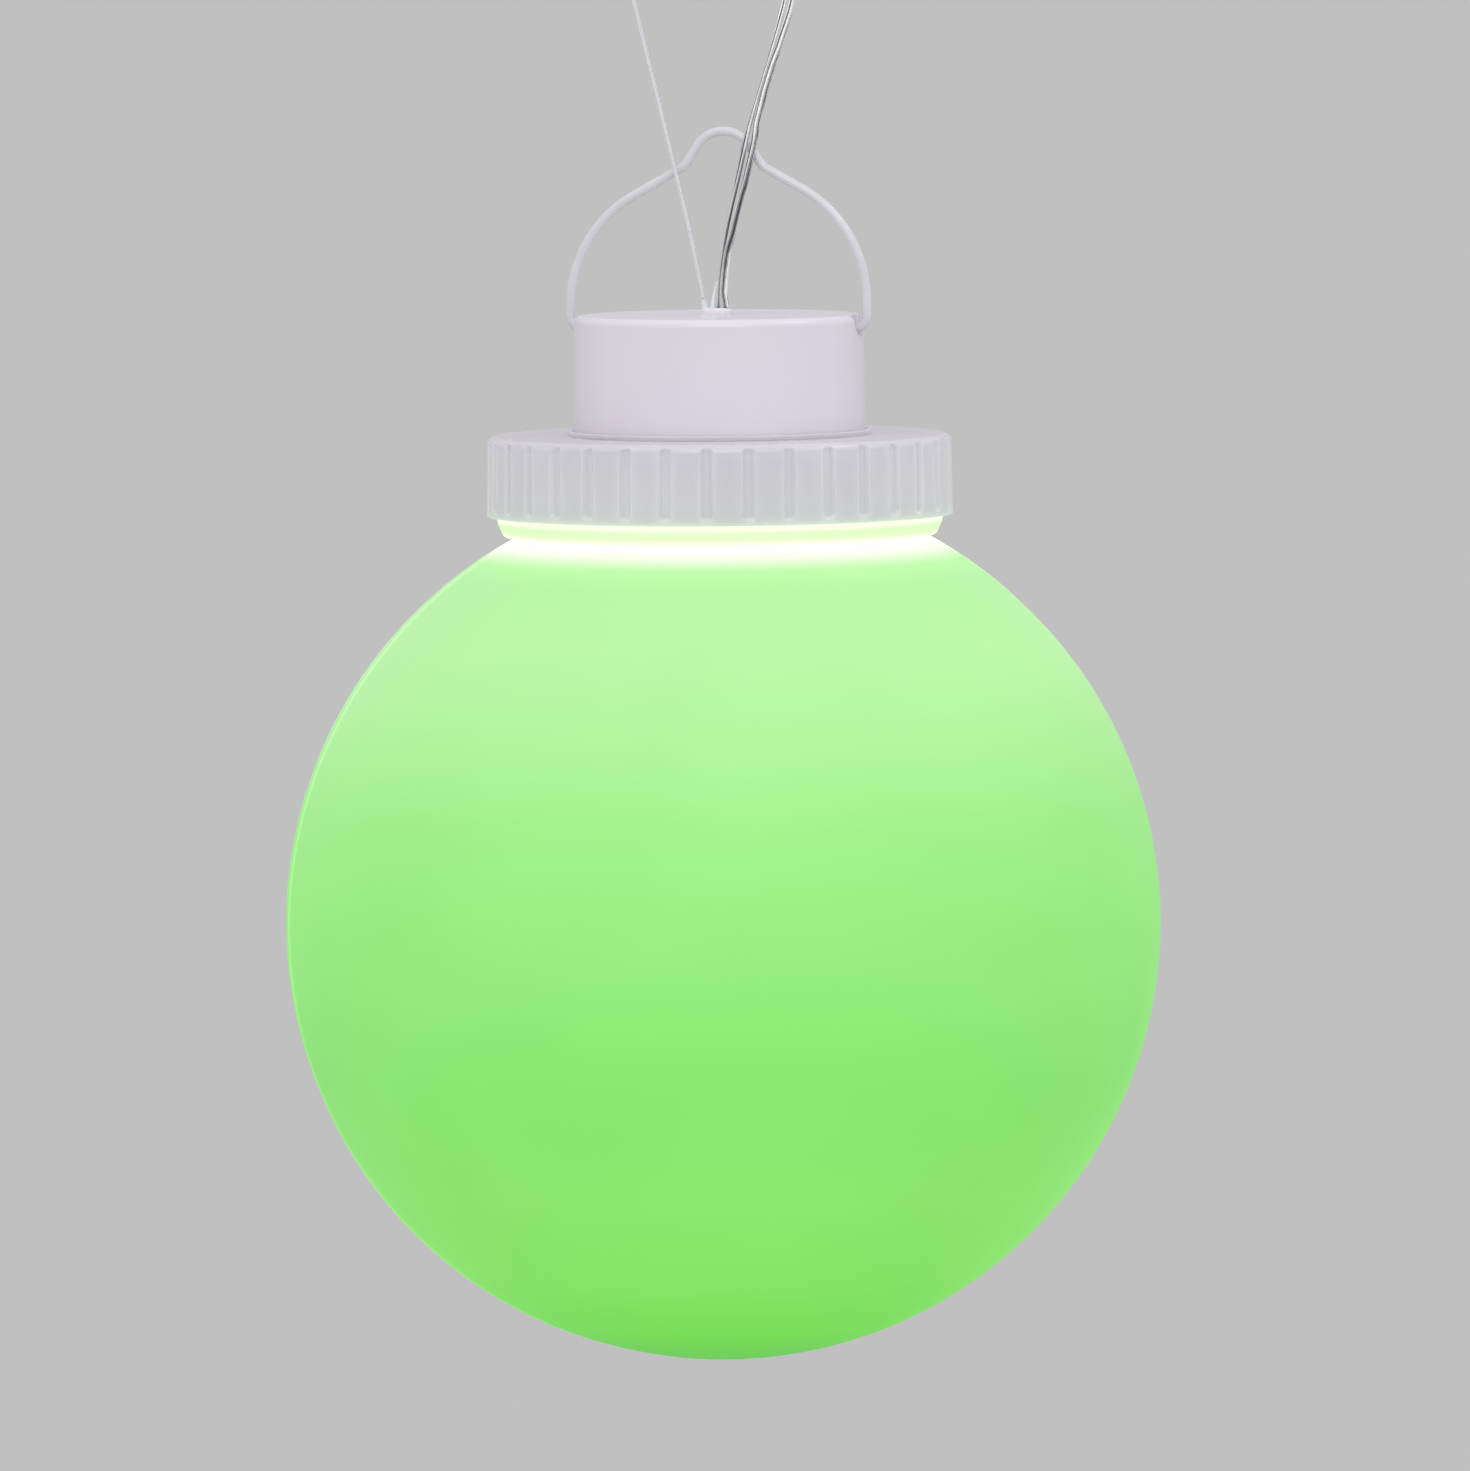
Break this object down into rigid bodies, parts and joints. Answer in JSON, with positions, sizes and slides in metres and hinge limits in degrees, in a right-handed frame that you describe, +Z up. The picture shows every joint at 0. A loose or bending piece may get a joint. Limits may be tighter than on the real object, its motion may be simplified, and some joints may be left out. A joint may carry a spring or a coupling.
{
  "type": "garden globe light",
  "caption": "Hanging garden light: a translucent green globe clamped by a ribbed screw collar to a white cap with a folding wire bail, a clear flex lead and a hanging string.",
  "frame": {"origin": "where a hook carries the light: the underside of the bail's crown, on the crown's wire", "axes": "+Z up; +X along the bail's hinge line, towards the end nearer the viewer of the picture; -Y the picture's front, where the two cords rise past the upright bail"},
  "size_m": [0.2, 0.2, 0.3557],
  "materials": {
    "globe_green": "translucent, smooth",
    "collar_white": "milky, satin",
    "housing_white": "satin",
    "bail_white": "white coated wire",
    "silicone_white": "soft, satin",
    "lead_clear": "clear flex with bright conductors",
    "string_white": "thin twisted string",
    "screw_steel": "zinc plated",
    "board_green": "solder mask",
    "board_white": "white solder mask",
    "part_black": "moulded",
    "terminal_green": "moulded",
    "carrier_aluminium": "as pressed",
    "led_yellow": "diode with phosphor window",
    "lens_clear": "clear",
    "seal_black": "matt",
    "gasket_grey": "matt",
    "wire_red": "insulation",
    "plug_grey": "moulded, satin",
    "barrel_nickel": "nickel plated",
    "insulator_black": "moulded"
  },
  "bodies": {
    "cap": {"cap_housing": "housing_white", "cable_gland": "silicone_white", "power_lead": "lead_clear", "lead_tail": "lead_clear", "hanging_string": "string_white", "string_anchor": "string_white", "string_loop": "string_white", "anchor_washer": "screw_steel", "cord_clamp": "silicone_white", "clamp_screws": "screw_steel", "terminal_block": "terminal_green", "driver_board": "board_green", "board_screws": "screw_steel", "driver_choke": "part_black", "driver_capacitors": "part_black", "bridge_rectifier": "part_black", "driver_chip": "part_black", "led_carrier": "carrier_aluminium", "carrier_screws": "screw_steel", "led_board": "board_white", "led_board_screws": "screw_steel", "led_chips": "led_yellow", "led_wires": "wire_red", "lens_cover": "lens_clear", "lens_seal": "seal_black", "cover_screws": "screw_steel", "neck_gasket": "gasket_grey", "lead_connector": "plug_grey", "connector_barrel": "barrel_nickel", "connector_insulator": "insulator_black"},
    "bail": {"bail": "bail_white"},
    "collar": {"screw_collar": "collar_white"},
    "globe": {"globe_shell": "globe_green"}
  },
  "joints": [
    {"name": "bail_swing", "type": "hinge", "parent": "cap", "child": "bail", "pos_m": [0, 0, -0.0439], "axis": [-1, 0, 0], "range_deg": [0, 105]},
    {"name": "collar_turn", "type": "hinge", "parent": "cap", "child": "collar", "pos_m": [0, 0, -0.0772], "axis": [0, 0, 1], "range_deg": [0, 540]},
    {"name": "globe_drop", "type": "slide", "parent": "cap", "child": "globe", "axis": [0, 0, -1], "range_m": [0, 0.00605]}
  ],
  "couplings": [
    {"joint": "globe_drop", "follows": "collar_turn", "m_per_rad": 0.00063662}
  ]
}
